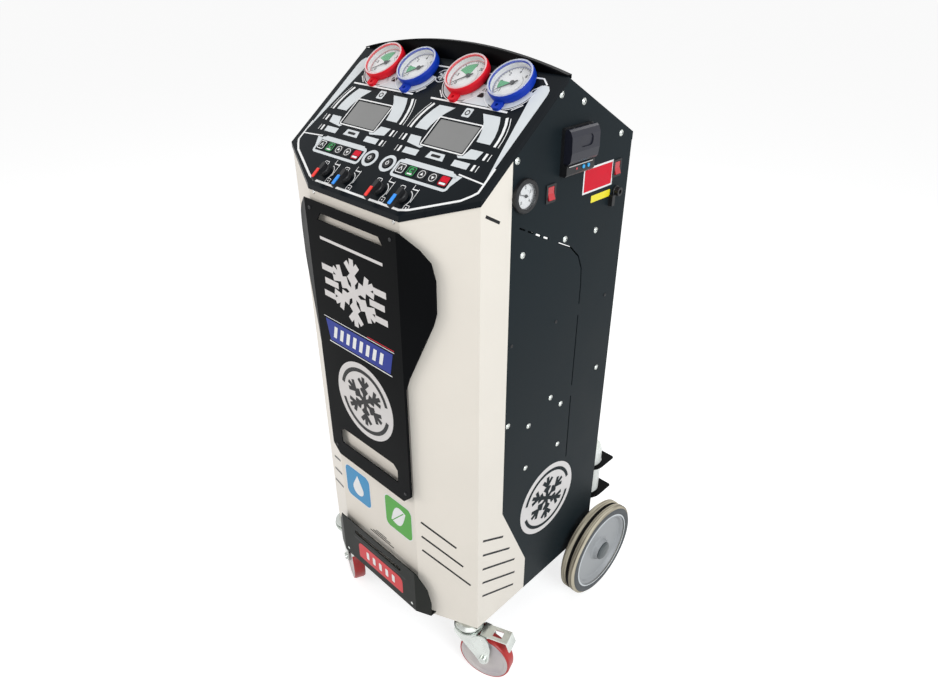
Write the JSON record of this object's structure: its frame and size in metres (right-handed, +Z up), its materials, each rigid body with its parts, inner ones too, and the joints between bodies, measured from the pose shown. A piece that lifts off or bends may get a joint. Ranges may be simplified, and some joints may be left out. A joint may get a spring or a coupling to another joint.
{
  "type": "air conditioning recharge station",
  "caption": "Wheeled cabinet for recharging vehicle air conditioning, with a sloped gauge panel, screens, valve levers, side printer, big rear wheels and braked front casters.",
  "frame": {"origin": "centre of the overall box at floor level", "axes": "+Z up, the front face looks along -Y, +X to the machine's right as seen from the front"},
  "size_m": [0.658, 0.603, 1.3367],
  "materials": {
    "white_paint": "satin",
    "slate_paint": "satin",
    "black_paint": "satin",
    "panel_overlay": "gloss",
    "red_rubber": "satin",
    "blue_rubber": "satin",
    "dial_white": "matte",
    "clear_lens": "clear",
    "black_plastic": "matte",
    "key_plastic": "satin",
    "red_plastic": "gloss",
    "blue_plastic": "gloss",
    "display_glass": "gloss",
    "zinc": "zinc plated",
    "steel": "bright",
    "brass": "bright",
    "caster_nylon": "translucent grey",
    "caster_tread": "satin",
    "tyre_grey": "matte",
    "wheel_grey": "satin",
    "bottle_plastic": "translucent",
    "cap_green": "gloss"
  },
  "bodies": {
    "cabinet": {"front_shell": "white_paint", "front_cover": "black_paint", "kick_plate": "black_paint", "side_panel_right": "slate_paint", "side_panel_left": "slate_paint", "rear_panel": "slate_paint", "top_cover": "slate_paint", "visor": "black_paint", "control_panel": "panel_overlay", "floor_pan": "black_paint", "axle": "steel", "axle_caps": "wheel_grey", "displays": "display_glass", "keypads": "key_plastic", "gauge_case_1": "red_rubber", "gauge_case_2": "blue_rubber", "gauge_case_3": "red_rubber", "gauge_case_4": "blue_rubber", "gauge_dials": "dial_white", "gauge_lenses": "clear_lens", "side_gauge_case": "black_plastic", "printer_body": "black_plastic", "rocker_bezels": "black_plastic", "cable_gland": "black_plastic", "bottle_rack": "black_paint", "oil_bottles": "bottle_plastic", "bottle_caps": "cap_green", "service_ports": "brass", "valve_bodies": "brass", "caster_mount_right": "zinc", "caster_mount_left": "zinc"},
    "needle_1": {"gauge_needle_1": "black_plastic"},
    "needle_2": {"gauge_needle_2": "black_plastic"},
    "needle_3": {"gauge_needle_3": "black_plastic"},
    "needle_4": {"gauge_needle_4": "black_plastic"},
    "side_needle": {"side_gauge_needle": "black_plastic"},
    "lever_1": {"valve_lever_1": "black_plastic"},
    "lever_2": {"valve_lever_2": "black_plastic"},
    "lever_3": {"valve_lever_3": "black_plastic"},
    "lever_4": {"valve_lever_4": "black_plastic"},
    "push_left": {"button_left": "black_plastic"},
    "push_right": {"button_right": "black_plastic"},
    "lid": {"printer_lid": "black_plastic"},
    "feed_1": {"printer_button_1": "blue_plastic"},
    "feed_2": {"printer_button_2": "blue_plastic"},
    "switch_1": {"rocker_1": "red_plastic"},
    "switch_2": {"rocker_2": "red_plastic"},
    "wheel_right": {"tyre_right": "tyre_grey", "rim_right": "wheel_grey"},
    "wheel_left": {"tyre_left": "tyre_grey", "rim_left": "wheel_grey"},
    "swivel_right": {"caster_fork_right": "zinc"},
    "roller_right": {"caster_wheel_right": "caster_nylon", "caster_tread_right": "caster_tread"},
    "brake_right": {"caster_pedal_right": "zinc"},
    "swivel_left": {"caster_fork_left": "zinc"},
    "roller_left": {"caster_wheel_left": "caster_nylon", "caster_tread_left": "caster_tread"},
    "brake_left": {"caster_pedal_left": "zinc"}
  },
  "joints": [
    {"name": "gauge_needle_1_turn", "type": "hinge", "parent": "cabinet", "child": "needle_1", "pos_m": [-0.16696, -0.05832, 1.28195], "axis": [0, 0.6143, -0.7891], "range_deg": [0, 255], "stiffness_Nm_per_rad": 0.004},
    {"name": "gauge_needle_2_turn", "type": "hinge", "parent": "cabinet", "child": "needle_2", "pos_m": [-0.07096, -0.05832, 1.28195], "axis": [0, 0.6143, -0.7891], "range_deg": [0, 255], "stiffness_Nm_per_rad": 0.004},
    {"name": "gauge_needle_3_turn", "type": "hinge", "parent": "cabinet", "child": "needle_3", "pos_m": [0.05804, -0.05832, 1.28195], "axis": [0, 0.6143, -0.7891], "range_deg": [0, 255], "stiffness_Nm_per_rad": 0.004},
    {"name": "gauge_needle_4_turn", "type": "hinge", "parent": "cabinet", "child": "needle_4", "pos_m": [0.16104, -0.05832, 1.28195], "axis": [0, 0.6143, -0.7891], "range_deg": [0, 255], "stiffness_Nm_per_rad": 0.004},
    {"name": "side_gauge_needle_turn", "type": "hinge", "parent": "cabinet", "child": "side_needle", "pos_m": [0.25154, -0.1305, 1.13], "axis": [-1, 0, 0], "range_deg": [-50, 190], "stiffness_Nm_per_rad": 0.002},
    {"name": "valve_lever_1_turn", "type": "hinge", "parent": "cabinet", "child": "lever_1", "pos_m": [-0.10996, -0.26269, 1.12285], "axis": [0, -0.6143, 0.7891], "range_deg": [0, 90]},
    {"name": "valve_lever_2_turn", "type": "hinge", "parent": "cabinet", "child": "lever_2", "pos_m": [-0.04796, -0.26269, 1.12285], "axis": [0, -0.6143, 0.7891], "range_deg": [0, 90]},
    {"name": "valve_lever_3_turn", "type": "hinge", "parent": "cabinet", "child": "lever_3", "pos_m": [0.04404, -0.26269, 1.12285], "axis": [0, -0.6143, 0.7891], "range_deg": [0, 90]},
    {"name": "valve_lever_4_turn", "type": "hinge", "parent": "cabinet", "child": "lever_4", "pos_m": [0.10504, -0.26269, 1.12285], "axis": [0, -0.6143, 0.7891], "range_deg": [0, 90]},
    {"name": "button_left_press", "type": "slide", "parent": "cabinet", "child": "push_left", "axis": [0, 0.6143, -0.7891], "range_m": [0, 0.0014], "stiffness_N_per_m": 900},
    {"name": "button_right_press", "type": "slide", "parent": "cabinet", "child": "push_right", "axis": [0, 0.6143, -0.7891], "range_m": [0, 0.0014], "stiffness_N_per_m": 900},
    {"name": "printer_lid_open", "type": "hinge", "parent": "cabinet", "child": "lid", "pos_m": [0.26104, 0.0025, 1.219], "axis": [0, -1, 0], "range_deg": [0, 75]},
    {"name": "printer_button_1_press", "type": "slide", "parent": "cabinet", "child": "feed_1", "axis": [-1, 0, 0], "range_m": [0, 0.001], "stiffness_N_per_m": 600},
    {"name": "printer_button_2_press", "type": "slide", "parent": "cabinet", "child": "feed_2", "axis": [-1, 0, 0], "range_m": [0, 0.001], "stiffness_N_per_m": 600},
    {"name": "rocker_1_tilt", "type": "hinge", "parent": "cabinet", "child": "switch_1", "pos_m": [0.25154, -0.0595, 1.117], "axis": [0, 1, 0], "range_deg": [0, 18]},
    {"name": "rocker_2_tilt", "type": "hinge", "parent": "cabinet", "child": "switch_2", "pos_m": [0.25154, 0.1395, 1.121], "axis": [0, 1, 0], "range_deg": [0, 18]},
    {"name": "wheel_right_spin", "type": "hinge", "parent": "cabinet", "child": "wheel_right", "pos_m": [0.28304, 0.1765, 0.125], "axis": [1, 0, 0], "continuous": true},
    {"name": "wheel_left_spin", "type": "hinge", "parent": "cabinet", "child": "wheel_left", "pos_m": [-0.29696, 0.1765, 0.125], "axis": [1, 0, 0], "continuous": true},
    {"name": "caster_right_swivel", "type": "hinge", "parent": "cabinet", "child": "swivel_right", "pos_m": [0.22004, -0.2265, 0.13], "axis": [0, 0, 1], "continuous": true},
    {"name": "caster_right_roll", "type": "hinge", "parent": "swivel_right", "child": "roller_right", "pos_m": [0.26284, -0.21259, 0.0625], "axis": [0.309, -0.9511, 0], "continuous": true},
    {"name": "caster_right_brake", "type": "hinge", "parent": "swivel_right", "child": "brake_right", "pos_m": [0.25903, -0.21383, 0.131], "axis": [-0.309, 0.9511, 0], "range_deg": [0, 10]},
    {"name": "caster_left_swivel", "type": "hinge", "parent": "cabinet", "child": "swivel_left", "pos_m": [-0.23396, -0.2265, 0.13], "axis": [0, 0, 1], "continuous": true},
    {"name": "caster_left_roll", "type": "hinge", "parent": "swivel_left", "child": "roller_left", "pos_m": [-0.19285, -0.2448, 0.0625], "axis": [-0.4067, -0.9135, 0], "continuous": true},
    {"name": "caster_left_brake", "type": "hinge", "parent": "swivel_left", "child": "brake_left", "pos_m": [-0.1965, -0.24318, 0.131], "axis": [0.4067, 0.9135, 0], "range_deg": [0, 10]}
  ]
}
